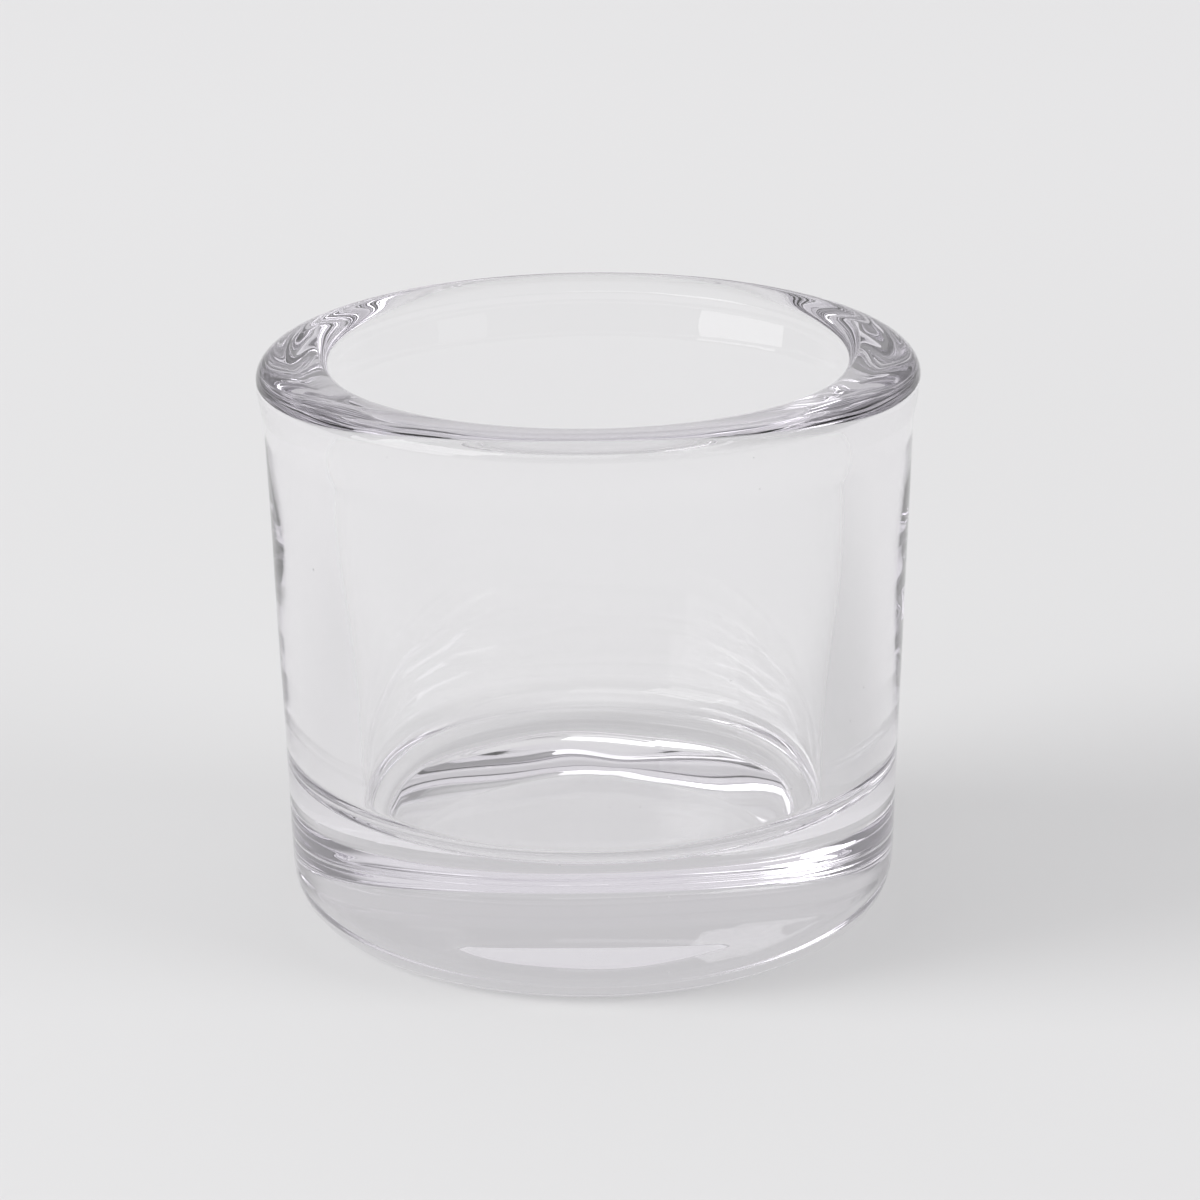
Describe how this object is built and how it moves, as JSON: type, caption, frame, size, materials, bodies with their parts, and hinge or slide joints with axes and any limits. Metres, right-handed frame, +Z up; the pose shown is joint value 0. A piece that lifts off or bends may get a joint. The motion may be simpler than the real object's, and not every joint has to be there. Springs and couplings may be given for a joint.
{
  "type": "tealight holder",
  "caption": "Clear pressed-glass tealight holder: a short round cup with a thick solid base, thick wall, rounded heel and a rounded bead rim.",
  "frame": {"origin": "centre of the foot, on the surface the holder stands on", "axes": "+Z up along the cup's axis of revolution, towards the mouth; +X and +Y across the mouth"},
  "size_m": [0.06, 0.06, 0.053],
  "materials": {
    "clear_glass": "clear, fire polished, slightly wavy as pressed"
  },
  "bodies": {
    "root": {"glass_cup": "clear_glass"}
  },
  "joints": []
}
